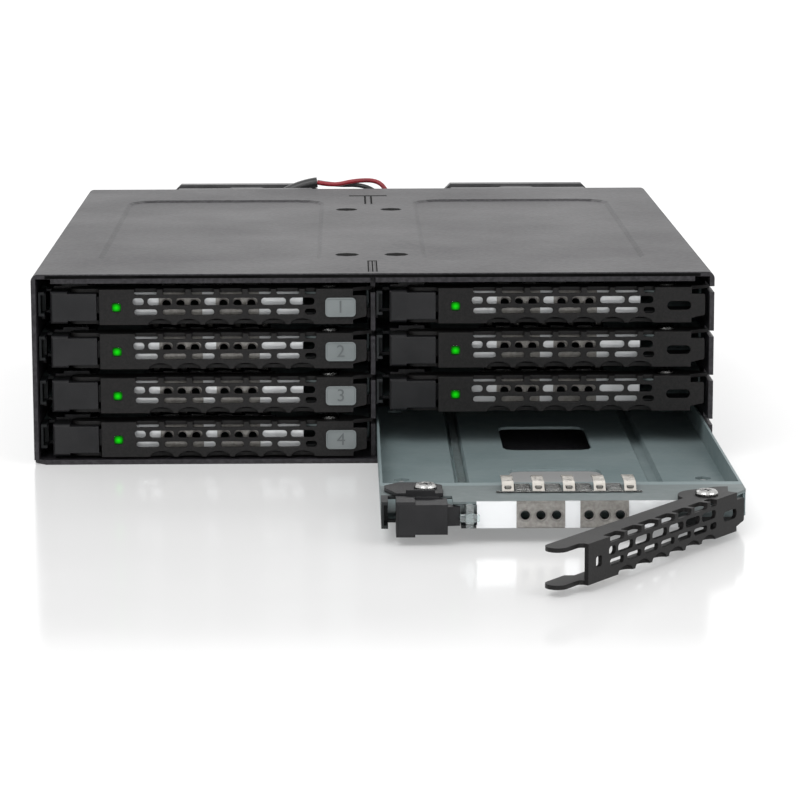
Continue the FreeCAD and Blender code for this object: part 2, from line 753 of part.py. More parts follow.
def lever():
    """Channel-section lever with rows of long holes, prongs at its free end and a toothed pivot ear."""
    top = plan(flange_outline(lever_front + lever_flange, True), lever_top - lever_gauge, lever_top)
    bottom = plan(flange_outline(lever_front + 4.5, False), lever_low, lever_low + lever_gauge)
    face = box(lever_left, lever_right - end_tab, lever_front, face_back, lever_low, lever_top)
    tab = front_view([(lever_right - end_tab, 1.0), (lever_right - 0.5, 1.6), (lever_right, 2.1),
                      (lever_right, 6.2), (lever_right - end_tab, 6.2)], lever_front, face_back)
    body = merged([face, top, bottom, tab])

    cuts = []
    for k in range(slot_count + 1):
        last = k == slot_count
        half = slot_short / 2 if last else slot_length / 2
        x = slot_first + slot_pitch * k - (slot_length / 2 - half)
        cuts.append(box(x - half, x + half, -1, face_back + 0.9, 6.5, lever_top + 1))
        cuts.append(slot(x, half, 2.1, 3.4))
        first = k == 0
        half = slot_short / 2 if first else wide_slot / 2
        x = slot_first + slot_pitch * (k - 0.5) + (wide_slot / 2 - half)
        cuts.append(slot(x, half, 4.2, 5.8))
        if not first:
            cuts.append(plan([(x - half, -1), (x + half, -1), (x + half - 0.8, face_back + 0.7),
                              (x - half + 0.8, face_back + 0.7)], lever_low - 1, 1.1))
    cuts.append(box(lamp_x - lamp_hole / 2, lamp_x + lamp_hole / 2, 0, face_back + 0.1,
                    lamp_z - lamp_hole / 2, lamp_z + lamp_hole / 2))
    cuts.append(grip_slot(0, 0, face_back + 0.1))
    cuts.append(flat_sided(screw_radius + pivot_play, (pivot_x, pivot_y, lever_top - 2),
                           (pivot_x, pivot_y, lever_top + 1), pivot_sides, True))
    return body.cut(cuts)


def grip_slot(play, y0, y1):
    """Round-ended slot near the lever's right end, or with play the boss that fills it."""
    radius = grip_slot_height / 2 - play
    half = grip_slot_length / 2 - grip_slot_height / 2
    x, z = grip_slot_x, grip_slot_z
    outline = arc_points((x + half, z), radius, -90, 90, 3) + arc_points((x - half, z), radius, 90, 270, 3)
    return front_view(outline, y0, y1)


def badge():
    """Grey number tile that clips into the slot of a left-hand lever."""
    half_w, half_h, corner = 3.25, 2.05, 0.5
    x, z = grip_slot_x, grip_slot_z
    outline = [(x - half_w + corner, z - half_h), (x + half_w - corner, z - half_h), (x + half_w, z - half_h + corner),
               (x + half_w, z + half_h - corner), (x + half_w - corner, z + half_h), (x - half_w + corner, z + half_h),
               (x - half_w, z + half_h - corner), (x - half_w, z - half_h + corner)]
    tile = front_view(outline, lever_front - 0.45, lever_front)
    return merged([tile, grip_slot(0.05, lever_front - 0.1, face_back)])


# ---------------------------------------------------------------- latch block
def latch():
    """Rocking latch: a front block beside the lever, and an ear on the tray's flange with its pivot."""
    right = latch_right
    prong_end = lever_left - prong_length
    step = prong_end - 0.3
    prong_low = lever_low + lever_gauge + prong_gap
    prong_high = lever_top - lever_gauge - prong_gap
    back = lever_front + latch_depth
    full = box(latch_left, step, lever_front, back, latch_low, latch_top)
    front_edges = [e for e in full.Edges if abs(e.CenterOfMass.y - lever_front) < 0.01
                   and e.CenterOfMass.x < step - 0.1]
    full = full.makeChamfer(0.4, front_edges)
    narrow = box(step, right, lever_front, back, prong_low, prong_high)
    hook = plan([(right - 0.1, 1.9), (right + 2.4, 2.3), (right + 2.4, 3.2), (right + 0.9, 4.2), (right - 0.1, 5.6)],
                2.3, 6.0)
    ear_low = tray_top + pivot_play
    neck = box(latch_left, right - 1.4, back - 0.1, back + 0.6, 4.2, ear_low + 0.1)
    ear_front = lever_front + lever_flange + 0.7
    ear_right = right - 0.7
    ear = plan([
        (latch_left + 0.2, ear_front), (ear_right, ear_front), (ear_right, latch_pivot_y + 3.4),
        (ear_right - 2.6, latch_pivot_y + 6.0), (latch_left + 0.6, latch_pivot_y + 6.0),
        (-tray_half + 0.7, latch_pivot_y + 3.0), (-tray_half + 0.7, latch_pivot_y + 1.2)], ear_low, lever_top)
    ridge = box(latch_left + 2.0, latch_left + 7.6, ear_front, ear_front + 0.7, lever_top, lever_top + 0.6)
    body = merged([full, narrow, hook, neck, ear, ridge])
    hole = flat_sided(screw_radius + pivot_play, (latch_pivot_x, latch_pivot_y, ear_low - 1),
                      (latch_pivot_x, latch_pivot_y, lever_top + 1), pivot_sides, True)
    return body.cut(hole)


# ---------------------------------------------------------------- fan lead
def round_path(points):
    """Straight runs joined by tangent arcs, each as large as its two runs allow."""
    corners = [Vector(*p) for p in points]
    edges, radii = [], []
    start = corners[0]
    for before, corner, after in zip(corners, corners[1:], corners[2:]):
        to_back, to_next = before - corner, after - corner
        trim = 0.45 * min(to_back.Length, to_next.Length)
        turn = math.pi - to_back.getAngle(to_next)
        radius = trim / math.tan(turn / 2)
        to_back.normalize()
        to_next.normalize()
        first, last = corner + to_back * trim, corner + to_next * trim
        inward = to_back + to_next
        inward.normalize()
        middle = corner + inward * (radius / math.cos(turn / 2) - radius)
        edges += [Part.LineSegment(start, first).toShape(), Part.Arc(first, middle, last).toShape()]
        radii.append(round(radius, 1))
        start = last
    edges.append(Part.LineSegment(start, corners[-1]).toShape())
    return Part.Wire(edges), radii


def tube(points, radius):
    path, radii = round_path(points)
    print("lead", round(path.Length, 1), "mm long, bends of", radii)
    first = path.Edges[0]
    start, along = first.valueAt(first.FirstParameter), first.tangentAt(first.FirstParameter)
    section = [Vector(u, v, 0) for u, v in arc_points((0, 0), radius, 0, 360 - 360 / few_sides, few_sides - 1)]
    outline = Part.makePolygon(section + section[:1])
    outline.Placement = FreeCAD.Placement(start, FreeCAD.Rotation(Vector(0, 0, 1), along))
    return path.makePipeShell([outline], True, False)


lead_y = cage_length + fan_depth / 2
lead_start = fan_x[0] + 10.5
sleeve_end = lead_start + 8.3
plug_end = backplane_y + board + header_depth + plug_depth


def over(part, back, up):
    """A point of the lead: part of the way from the sleeve's end to the plug, behind the fans' middle, above the cage."""
    return (sleeve_end + part * (header_x - sleeve_end), lead_y + back, cage_height + up)


sleeve_route = [(lead_start, lead_y, cage_height - 1.7), (lead_start + 4.3, lead_y, cage_height + 0.4), over(0, 0, 0.9)]
red_route = [over(0, -0.62, 0.9), over(0.23, -0.7, 0.0), over(0.55, -0.6, 1.4), over(0.89, -0.5, 1.4), over(1.03, -3.6, -1.7),
             over(1.055, -8.5, -4.0), (header_x + 1.0, plug_end, header_z)]
black_route = [over(0, 0.62, 0.9), over(0.25, 0.7, 0.0), over(0.67, 0.2, 0.2), over(0.91, -4.2, -1.9),
               over(0.956, -8.6, -4.0), (header_x - 0.8, plug_end, header_z)]


def fan_lead():
    return [tube(sleeve_route, sleeve_radius), tube(red_route, wire_radius), tube(black_route, wire_radius)]


# ---------------------------------------------------------------- writing every node
def write_cage():
    export("top_cover", cover())
    export("base_plate", base())
    export("divider", divider())
    export("tray_rails", *rails())
    export("rear_panel", rear_panel())
    export("backplane", backplane())
    export("drive_sockets", *drive_sockets())
    export("data_ports", *rear_sockets(data_ports, port_width))
    export("power_inputs", *rear_sockets(power_ports, power_width))
    export("fan_plug", *fan_plug())
    export("fan_frame_left", fan_frame(fan_x[0]))
    export("fan_frame_right", fan_frame(fan_x[1]))
    export("fan_rotor_left", fan_rotor(fan_x[0]))
    export("fan_rotor_right", fan_rotor(fan_x[1]))
    export("cage_screws", *cage_screws())
    export("fan_lead", *fan_lead())


def write_trays():
    """Trays are numbered down the left column and then down the right one."""
    tray_body, pipe, latch_body, lever_body = tray(), light_pipe(), latch(), lever()
    fittings, tile = tray_fittings(), badge()
    number = 0
    for column in (1, 2):
        for row in range(1, rows + 1):
            number += 1
            is_open = (row, column) == (open_row, open_column)
            place = (column_x[column - 1], -pulled_out if is_open else 0, bay_bottom(row))
            swing = swung_open if is_open else 0
            export(f"tray_{number}", moved(tray_body, *place))
            export(f"tray_fittings_{number}", *[moved(s, *place) for s in fittings])
            export(f"light_pipe_{number}", moved(pipe, *place))
            export(f"latch_{number}", moved(latch_body, *place))
            opened = turned(lever_body, (pivot_x, pivot_y, 0), (0, 0, 1), swing)
            export(f"lever_{number}", moved(opened, *place))
            if column == 1:
                export(f"number_tile_{number}", moved(tile, *place))


os.makedirs("parts", exist_ok=True)
write_cage()
write_trays()
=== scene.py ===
"""Looks of the hot swap drive cage: finishes, slotted levers, fingers, screws, lamps, tiles and the fan lead.

Sizes are in millimetres unless a comment says otherwise; Blender's own units are metres.
"""

import json
import math

import bmesh
import bpy
from mathutils import Matrix, Vector


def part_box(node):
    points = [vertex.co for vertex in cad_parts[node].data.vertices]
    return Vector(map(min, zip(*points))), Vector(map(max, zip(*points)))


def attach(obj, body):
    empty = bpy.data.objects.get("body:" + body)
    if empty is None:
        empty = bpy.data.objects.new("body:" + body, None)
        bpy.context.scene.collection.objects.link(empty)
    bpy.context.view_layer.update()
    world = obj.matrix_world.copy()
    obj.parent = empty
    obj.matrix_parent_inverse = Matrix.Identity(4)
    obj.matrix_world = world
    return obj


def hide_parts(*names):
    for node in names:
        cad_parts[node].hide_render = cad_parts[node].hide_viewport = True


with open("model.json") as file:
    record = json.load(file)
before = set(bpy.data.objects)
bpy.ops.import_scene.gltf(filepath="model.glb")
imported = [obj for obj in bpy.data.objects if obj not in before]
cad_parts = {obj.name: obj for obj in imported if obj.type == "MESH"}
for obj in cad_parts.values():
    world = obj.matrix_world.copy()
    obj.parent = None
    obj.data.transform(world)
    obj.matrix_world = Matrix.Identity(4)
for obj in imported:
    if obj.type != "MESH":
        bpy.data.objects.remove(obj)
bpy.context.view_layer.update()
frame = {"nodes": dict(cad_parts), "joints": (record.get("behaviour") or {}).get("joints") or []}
scene = bpy.context.scene
MM = 0.001
ORIGIN_Y = 87.025               # origin behind the cage's front face
TRAYS = range(1, 9)
TILED_LEVERS = range(1, 5)
OPEN_TRAY = 8                   # stored pulled out, with its lamp dark

# sizes of a drive tray, from its middle, the cage's front face and the bay's bottom line
TRAY_HALF = 35.5
TRAY_TOP = 6.8
TRAY_NOSE = 1.45
TRAY_LENGTH = 128.55
WALL_X = (-17.3, 21.3)          # ends of the front wall, made bright as a painted highlight
WALL_REAR, LIP_REAR, FLANGE_REAR = 3.62, 9.5, 18.2      # where the wall's painted highlight, and the painted shade of the lip, the front gaps and the flange, end
LIP_SPAN = 0.04                 # the left lip, painted near black as shade, as a share of the tray's width
FLANGE_RISE = (0.93, 1.1)       # the flange, painted duller as shade, as shares of the tray's height
PLATE_X = (-5.0, 7.2)
PLATE_HALF = 4.65
PLATE_FACE = 2.7
VENT_PITCH = 3.0
VENT_Z = 4.2
LEVER_TOP = 7.65
LAMP_X, LAMP_Z = -18.6, 3.8
SCREWS = ((26.8, 4.3), (-26.85, 11.6))


def share(x):
    """How far a place across the tray is from its left edge, as a share of its width."""
    return (x + TRAY_HALF) / (2 * TRAY_HALF)


def share_back(y):
    """How far a place in the tray is from its front end, as a share of its length."""
    return (y - TRAY_NOSE) / TRAY_LENGTH


WALL_SPAN = [share(x) for x in WALL_X]
PLATE_SPANS = [(share(x - PLATE_HALF), share(x + PLATE_HALF)) for x in PLATE_X]
WALL_BACK, LIP_BACK, FLANGE_BACK = (share_back(y) for y in (WALL_REAR, LIP_REAR, FLANGE_REAR))


# ---------------------------------------------------------------- material helpers
# near-black colour of the painted shade in narrow gaps
PAINTED_SHADE_COLOR = (0.004, 0.004, 0.004)


class Finish:
    """A principled material and the few nodes that its finish is made with."""

    def __init__(self, name, color, roughness, metallic=0.0, specular=0.5):
        self.material = bpy.data.materials.new(name)
        self.material.use_nodes = True
        self.nodes = self.material.node_tree.nodes
        self.links = self.material.node_tree.links
        self.shader = self.nodes["Principled BSDF"]
        self.shader.inputs["Base Color"].default_value = (*color, 1)
        self.shader.inputs["Roughness"].default_value = roughness
        self.shader.inputs["Metallic"].default_value = metallic
        self.shader.inputs["Specular IOR Level"].default_value = specular
        coordinates = self.nodes.new("ShaderNodeTexCoord")
        self.place = coordinates.outputs["Object"]
        self.share = coordinates.outputs["Generated"]

    def add(self, kind, **values):
        """A new node with the values of its inputs, or else of its properties."""
        node = self.nodes.new(kind)
        for key, value in values.items():
            if key in node.inputs:
                node.inputs[key].default_value = value
            else:
                setattr(node, key, value)
        return node

    def noise(self, size, detail=3.0):
        """Noise whose lumps are about size millimetres across."""
        node = self.add("ShaderNodeTexNoise", Scale=1.0 / (size * MM), Detail=detail, Roughness=0.5)
        self.links.new(self.place, node.inputs["Vector"])
        return node.outputs["Fac"]

    def spread(self, fac, low, high, start=0.3, end=0.7):
        """A number that goes from low to high as fac goes from start to end."""
        node = self.nodes.new("ShaderNodeMapRange")
        for key, value in (("From Min", start), ("From Max", end), ("To Min", low), ("To Max", high)):
            node.inputs[key].default_value = value
        self.links.new(fac, node.inputs["Value"])
        return node.outputs["Result"]

    def two_colors(self, fac, dark, light, start=0.35, end=0.65):
        """A colour that goes from dark to light as fac goes from start to end."""
        ramp = self.nodes.new("ShaderNodeValToRGB")
        for stop, place, color in zip(ramp.color_ramp.elements, (start, end), (dark, light)):
            stop.position = place
            stop.color = (*color, 1)
        self.links.new(fac, ramp.inputs["Fac"])
        return ramp.outputs["Color"]

    def colored(self, color):
        """Links a colour to the surface."""
        self.links.new(color, self.shader.inputs["Base Color"])

    def sum_up(self, operation, first, second):
        """A number made from two numbers or outputs."""
        node = self.add("ShaderNodeMath", operation=operation)
        for socket, value in zip(node.inputs, (first, second)):
            if isinstance(value, (int, float)):
                socket.default_value = value
            else:
                self.links.new(value, socket)
        return node.outputs["Value"]

    def below(self, value, limit):
        """1 where value is under limit, and 0 elsewhere."""
        return self.sum_up("LESS_THAN", value, limit)

    def times(self, first, second):
        """The product of two numbers or outputs."""
        return self.sum_up("MULTIPLY", first, second)

    def plus(self, first, second):
        """The sum of two numbers or outputs."""
        return self.sum_up("ADD", first, second)

    def within(self, value, low, high):
        """1 where value is between low and high, and 0 elsewhere."""
        return self.times(self.sum_up("GREATER_THAN", value, low), self.below(value, high))

    def mixed(self, fac, first, second):
        """Colour first where fac is 0 and second where it is 1."""
        node = self.add("ShaderNodeMix", data_type="RGBA")
        self.links.new(fac, node.inputs["Factor"])
        for key, value in (("A", first), ("B", second)):
            socket = next(i for i in node.inputs if i.name == key and i.type == "RGBA")
            if isinstance(value, tuple):
                socket.default_value = (*value, 1)
            else:
                self.links.new(value, socket)
        return next(o for o in node.outputs if o.type == "RGBA")

    def blend_numbers(self, fac, first, second):
        """Number first where fac is 0 and second where it is 1."""
        return self.plus(first, self.times(fac, self.sum_up("SUBTRACT", second, first)))

    def shaded(self, color, reach, depth, closed, open_, where=1.0):
        """A colour with painted shade: made darker by depth, up to 1, in gaps narrower than reach
        millimetres.

        closed and open_ are the shares of open sky at which the darkening is full and gone.
        """
        node = self.add("ShaderNodeAmbientOcclusion", Distance=reach * MM, samples=8)
        shade_amount = self.times(self.spread(node.outputs["AO"], depth, 0.0, closed, open_), where)
        return self.mixed(shade_amount, color, PAINTED_SHADE_COLOR)

    def rough(self, fac, low, high):
        """Roughness that goes from low to high with fac."""
        self.links.new(self.spread(fac, low, high), self.shader.inputs["Roughness"])

    def relief(self, height, depth, strength, edge=0.0):
        """Bumps of a depth in millimetres over edges rounded by edge millimetres."""
        bump = self.add("ShaderNodeBump", Strength=strength, Distance=depth * MM)
        self.links.new(height, bump.inputs["Height"])
        if edge:
            bevel = self.add("ShaderNodeBevel", Radius=edge * MM, samples=4)
            self.links.new(bevel.outputs["Normal"], bump.inputs["Normal"])
        self.links.new(bump.outputs["Normal"], self.shader.inputs["Normal"])


def powder_coat(name, dark, light, roughness, grain, depth, edge, specular):
    """Fine-textured black coat on sheet steel."""
    finish = Finish(name, light, roughness, specular=specular)
    fine = finish.noise(grain, detail=2.0)
    wide = finish.noise(38.0, detail=4.0)
    finish.colored(finish.two_colors(fine, dark, light, 0.38, 0.66))
    finish.rough(wide, roughness - 0.05, roughness + 0.07)
    finish.relief(fine, depth, 0.8, edge)
    return finish.material


def zinc_sheet(name):
    """Blue-grey zinc plate of a drive tray in soft clouds.

    Set by place on the tray: a front wall with a painted highlight, two dull vent plates, and a flange
    and left lip darkened as painted shade; the sheet near the front has painted shade in narrow gaps.
    """
    finish = Finish(name, (0.5, 0.56, 0.58), 0.42, metallic=0.12, specular=0.3)
    split = finish.nodes.new("ShaderNodeSeparateXYZ")
    finish.links.new(finish.share, split.inputs["Vector"])
    across, back, rise = split.outputs["X"], split.outputs["Y"], split.outputs["Z"]
    front = finish.below(back, WALL_BACK)
    # mask of the front wall that gets the painted highlight
    wall_highlight = finish.times(front, finish.within(across, *WALL_SPAN))
    plates = finish.times(front, finish.plus(*(finish.within(across, *span) for span in PLATE_SPANS)))
    cloud = finish.noise(16.0, detail=5.0)
    sheet = finish.two_colors(cloud, (0.155, 0.200, 0.206), (0.195, 0.240, 0.246), 0.3, 0.72)
    # painted shade: the sheet near the front is darkened in narrow gaps by the occlusion node
    sheet = finish.shaded(sheet, 12.0, 0.97, 0.6, 0.95, finish.below(back, LIP_BACK))
    # painted shade: the flange near the front is made duller by place
    flange_shade = finish.times(finish.below(back, FLANGE_BACK), finish.within(rise, *FLANGE_RISE))
    sheet = finish.mixed(flange_shade, sheet, (0.120, 0.145, 0.146))
    # painted shade: the left lip near the front is made near black by place, on every tray
    lip_shade = finish.times(finish.below(back, LIP_BACK), finish.below(across, LIP_SPAN))
    sheet = finish.mixed(lip_shade, sheet, (0.012, 0.014, 0.015))
    # painted highlight: the front wall is made near white by place, standing in for light reflected from the
    # front
    bright = finish.mixed(wall_highlight, sheet, (0.72, 0.735, 0.745))
    dull = finish.two_colors(finish.noise(0.8), (0.18, 0.172, 0.157), (0.25, 0.241, 0.226))
    base = finish.mixed(plates, bright, dull)
    finish.colored(base)
    rough = finish.spread(finish.noise(3.0), 0.48, 0.6)
    finish.links.new(finish.blend_numbers(wall_highlight, rough, 0.16), finish.shader.inputs["Roughness"])
    finish.relief(finish.noise(0.5), 0.008, 0.35, 0.12)
    return finish.material


def plated_steel(name, color, roughness, gap_shade_depth=0.98):
    """Plated steel of small parts; the last argument, up to 1, is how dark painted shade makes it in narrow
    gaps.
    """
    finish = Finish(name, color, roughness, metallic=1.0)
    wear = finish.noise(1.6, detail=4.0)
    plating = finish.two_colors(wear, tuple(c * 0.86 for c in color), color)
    if gap_shade_depth:
        # painted shade: the plating is mixed toward near black where the occlusion node finds narrow gaps
        plating = finish.shaded(plating, 6.0, gap_shade_depth, 0.5, 0.75)
    finish.colored(plating)
    finish.rough(finish.noise(0.7), roughness - 0.04, roughness + 0.08)
    finish.relief(wear, 0.003, 0.3, 0.08)
    return finish.material


def moulded(name, dark, light, roughness, depth=0.012, edge=0.15, specular=0.5):
    """Moulded plastic with a fine spark-eroded grain."""
    finish = Finish(name, light, roughness, specular=specular)
    fine = finish.noise(0.35, detail=2.0)
    finish.colored(finish.two_colors(finish.noise(6.0, detail=4.0), dark, light))
    finish.rough(fine, roughness - 0.05, roughness + 0.08)
    finish.relief(fine, depth, 0.6, edge)
    return finish.material


def circuit_board(name):
    """Green solder mask with faint copper tracks under it."""
    finish = Finish(name, (0.01, 0.09, 0.035), 0.32)
    tracks = finish.add("ShaderNodeTexBrick", Scale=180.0)
    tracks.inputs["Mortar Size"].default_value = 0.04
    tracks.inputs["Color1"].default_value = (0.008, 0.075, 0.03, 1)
    tracks.inputs["Color2"].default_value = (0.01, 0.085, 0.034, 1)
    tracks.inputs["Mortar"].default_value = (0.02, 0.13, 0.05, 1)
    flat = finish.add("ShaderNodeMapping", Rotation=(math.pi / 2, 0, 0))
    finish.links.new(finish.place, flat.inputs["Vector"])
    finish.links.new(flat.outputs["Vector"], tracks.inputs["Vector"])
    finish.colored(tracks.outputs["Color"])
    finish.relief(tracks.outputs["Fac"], 0.03, 0.4)
    return finish.material


def clear_plastic(name):
    """Clear moulded plastic of the light pipes, slightly cloudy."""
    finish = Finish(name, (0.86, 0.94, 0.94), 0.1)
    finish.shader.inputs["Transmission Weight"].default_value = 0.93
    finish.shader.inputs["IOR"].default_value = 1.49
    finish.rough(finish.noise(3.0), 0.05, 0.16)
    return finish.material


def lit_green(name):
    """The lit end of a light pipe: bright in its middle, deep green at its rim."""
    finish = Finish(name, (0.02, 0.3, 0.03), 0.5, specular=0.05)
    flat = finish.add("ShaderNodeVectorMath", operation="MULTIPLY")
    flat.inputs[1].default_value = (1, 0, 1)
    finish.links.new(finish.share, flat.inputs[0])
    from_middle = finish.add("ShaderNodeVectorMath", operation="DISTANCE")
    from_middle.inputs[1].default_value = (0.5, 0, 0.5)
    finish.links.new(flat.outputs["Vector"], from_middle.inputs[0])
    bright, deep = (0.003, 0.40, 0.002), (0.001, 0.06, 0.001)
    glow = finish.two_colors(from_middle.outputs["Value"], bright, deep, 0.1, 0.5)
    finish.links.new(glow, finish.shader.inputs["Emission Color"])
    finish.colored(glow)
    finish.shader.inputs["Emission Strength"].default_value = 0.65
    finish.rough(finish.noise(0.9), 0.25, 0.4)
    return finish.material


def insulation(name, dark, light):
    """Soft wire insulation with a faint waxy sheen."""
    finish = Finish(name, light, 0.42)
    finish.colored(finish.two_colors(finish.noise(4.0), dark, light))
    finish.relief(finish.noise(0.6), 0.02, 0.5)
    return finish.material


cage_coat = powder_coat(
    "cage_coat", (0.011, 0.010, 0.012), (0.031, 0.029, 0.033), 0.46,
    grain=1.0, depth=0.12, edge=0.2, specular=0.27)
lever_coat = powder_coat(
    "lever_coat", (0.005, 0.005, 0.005), (0.011, 0.010, 0.010), 0.5,
    grain=0.4, depth=0.02, edge=0.2, specular=0.2)
latch_black = moulded(
    "latch_black", (0.005, 0.005, 0.006), (0.010, 0.010, 0.011), 0.42, edge=0.3, specular=0.25)
zinc = zinc_sheet("zinc")
# nickel, spring and tab_steel carry painted shade in narrow gaps; vent_rim has none
nickel = plated_steel("nickel", (0.52, 0.52, 0.51), 0.26)
spring = plated_steel("spring", (0.66, 0.63, 0.58), 0.3)
tab_steel = plated_steel("tab_steel", (0.88, 0.89, 0.87), 0.2)
vent_rim = plated_steel("vent_rim", (0.2, 0.19, 0.18), 0.4, gap_shade_depth=0)
black_screw = moulded("black_screw", (0.002, 0.002, 0.002), (0.006, 0.006, 0.006), 0.8, specular=0.03)
tile_grey = moulded("tile_grey", (0.145, 0.164, 0.166), (0.173, 0.192, 0.194), 0.5)
tile_mark = moulded(
    "tile_mark", (0.085, 0.095, 0.097), (0.10, 0.11, 0.112), 0.5, depth=0.005, edge=0.0)
connector_black = moulded("connector_black", (0.012, 0.012, 0.013), (0.025, 0.025, 0.026), 0.5)
fan_black = moulded("fan_black", (0.028, 0.028, 0.029), (0.05, 0.05, 0.052), 0.42)
board_green = circuit_board("board_green")
pipe_clear = clear_plastic("pipe_clear")
lamp_green = lit_green("lamp_green")
wire_red = insulation("wire_red", (0.17, 0.004, 0.010), (0.26, 0.008, 0.017))
wire_black = insulation("wire_black", (0.010, 0.010, 0.010), (0.025, 0.025, 0.026))

FINISH_OF = {
    "top_cover": cage_coat, "base_plate": cage_coat, "divider": cage_coat, "rear_panel": cage_coat,
    "tray_rails": cage_coat, "tray_": zinc, "tray_fittings_": nickel, "lever_": lever_coat,
    "latch_": latch_black, "light_pipe_": pipe_clear, "number_tile_": tile_grey, "backplane": board_green,
    "drive_sockets": connector_black, "data_ports": connector_black, "power_inputs": connector_black,
    "fan_plug": connector_black, "fan_frame_": fan_black, "fan_rotor_": fan_black, "cage_screws": black_screw,
    "fan_lead": wire_red,
}


def dress_cad():
    """Gives every CAD node the finish with the longest matching name."""
    for name, node in frame["nodes"].items():
        key = max((k for k in FINISH_OF if name.startswith(k)), key=len)
        node.data.materials.clear()
        node.data.materials.append(FINISH_OF[key])


# ---------------------------------------------------------------- mesh helpers
SAME_PLACE = 1e-7               # metres within which two points count as one
CROSS = (1.15, 0.24, 0.42)      # reach, half width and depth of a screw's cross recess
CROSS_TURN = 20                 # degrees


def piece(name, mesh, finish, body):
    """A mesh as an object of the scene that rides on a CAD body."""
    item = bpy.data.objects.new(name, mesh)
    scene.collection.objects.link(item)
    mesh.materials.append(finish)
    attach(item, body)
    return item


def mesh_of(name, build):
    """A mesh filled by build(bm)."""
    bm = bmesh.new()
    build(bm)
    bmesh.ops.recalc_face_normals(bm, faces=bm.faces)
    mesh = bpy.data.meshes.new(name)
    bm.to_mesh(mesh)
    bm.free()
    return mesh


def built(name, build, finish, body):
    """A piece whose mesh is filled by build(bm)."""
    return piece(name, mesh_of(name, build), finish, body)


def lathe(bm, profile, centre, steps=32):
    """A closed surface turned about an upright line through centre; profile is (radius, height) pairs."""
    rings = []
    for radius, height in profile:
        if radius == 0:
            rings.append([bm.verts.new(centre + Vector((0, 0, height)))])
            continue
        angles = [2 * math.pi * k / steps for k in range(steps)]
        around = [Vector((radius * math.cos(a), radius * math.sin(a), height)) for a in angles]
        rings.append([bm.verts.new(centre + point) for point in around])
    for low, high in zip(rings, rings[1:]):
        for k in range(steps):
            corners = [ring[j % len(ring)] for ring, j in ((low, k), (low, k + 1), (high, k + 1), (high, k))]
            bm.faces.new(list(dict.fromkeys(corners)))


def slab(bm, low, high, shift, edge=0.0, steps=2):
    """A box between two corners in millimetres, moved by shift in metres, its edges rounded."""
    low, high = Vector(low) * MM, Vector(high) * MM
    matrix = Matrix.Translation((low + high) / 2 + shift) @ Matrix.Diagonal((*(high - low), 1))
    made = bmesh.ops.create_cube(bm, size=1.0, matrix=matrix)
    if edge:
        edges = list(dict.fromkeys(e for v in made["verts"] for e in v.link_edges))
        bmesh.ops.bevel(bm, geom=edges, offset=edge * MM, segments=steps, affect="EDGES")


def strip(bm, line, gauge, x0, x1, shift):
    """A strip of sheet whose under side follows line, (y, z) points in millimetres, from x0 to x1."""
    rows = []
    for x in (x0, x1):
        for rise in (0, gauge):
            rows.append([bm.verts.new(Vector((x, y, z + rise)) * MM + shift) for y, z in line])
    left_low, left_high, right_low, right_high = rows
    for k in range(len(line) - 1):
        bm.faces.new((left_low[k], left_low[k + 1], right_low[k + 1], right_low[k]))
        bm.faces.new((left_high[k], right_high[k], right_high[k + 1], left_high[k + 1]))
        bm.faces.new((left_low[k], left_high[k], left_high[k + 1], left_low[k + 1]))
        bm.faces.new((right_low[k], right_low[k + 1], right_high[k + 1], right_high[k]))
    for k in (0, -1):
        bm.faces.new((left_low[k], right_low[k], right_high[k], left_high[k]))


def cross_screw(bm, centre, radius, height):
    """A pan head with a cross recess; sizes in millimetres, centre under the head in metres."""
    reach, half, depth = CROSS
    profile = [(0, 0), (radius, 0), (radius, 0.4 * height),
               (0.93 * radius, 0.75 * height), (0.8 * radius, height)]
    before = set(bm.edges)
    lathe(bm, [(r * MM, h * MM) for r, h in profile], centre)
    top = centre.z + height * MM
    rim = [e for e in bm.edges if e not in before and all(abs(v.co.z - top) < SAME_PLACE for v in e.verts)]
    corners = []
    for k in range(4):
        turn = Matrix.Rotation(math.radians(90 * k + CROSS_TURN), 3, "Z")
        corners += [turn @ Vector(p) for p in ((reach, -half, 0), (reach, half, 0), (half, half, 0))]
    lift = Vector((0, 0, height * MM))
    mouth = [bm.verts.new(centre + lift + c * MM) for c in corners]
    floor = [bm.verts.new(centre + lift + c * MM * 0.7 - Vector((0, 0, depth * MM))) for c in corners]
    for k in range(12):
        rim.append(bm.edges.new((mouth[k], mouth[(k + 1) % 12])))
        bm.faces.new((mouth[k], mouth[(k + 1) % 12], floor[(k + 1) % 12], floor[k]))
    bm.faces.new(floor)
    bmesh.ops.triangle_fill(bm, use_beauty=True, use_dissolve=False, edges=rim)


def tray_corner(number):
    """The place of a tray's middle, front face and bottom line."""
    low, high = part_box(f"tray_{number}")
    return Vector(((low.x + high.x) / 2, low.y - TRAY_NOSE * MM, high.z - TRAY_TOP * MM))


# ---------------------------------------------------------------- small parts of each tray
SCREW_HEAD = (2.2, 0.95)        # radius and height
SCREW_SHANK = (1.4, 0.9)        # radius and length
FINGER_X, FINGER_PITCH = 1.0, 5.93
FINGER_HALF, FINGER_GAUGE = 1.15, 0.22
TAB_HALF = 1.6
BAND_HALF = 14.2
# (y, z) points of a finger's under side
FINGER_LINE = [(11.2, 6.9), (11.5, 7.1), (12.6, 8.1), (13.4, 8.4), (17.6, 8.5), (19.6, 8.35), (20.2, 8.1)]
# (radius, height) pairs of a vent's rolled rim, all the way round
RIM_PROFILE = [(0.95, 0.0), (1.22, 0.0), (1.22, 0.1), (1.06, 0.16), (0.9, 0.1), (0.82, -0.2), (0.95, 0.0)]
LAMP_HALF = (0.97, 0.88)        # across and up


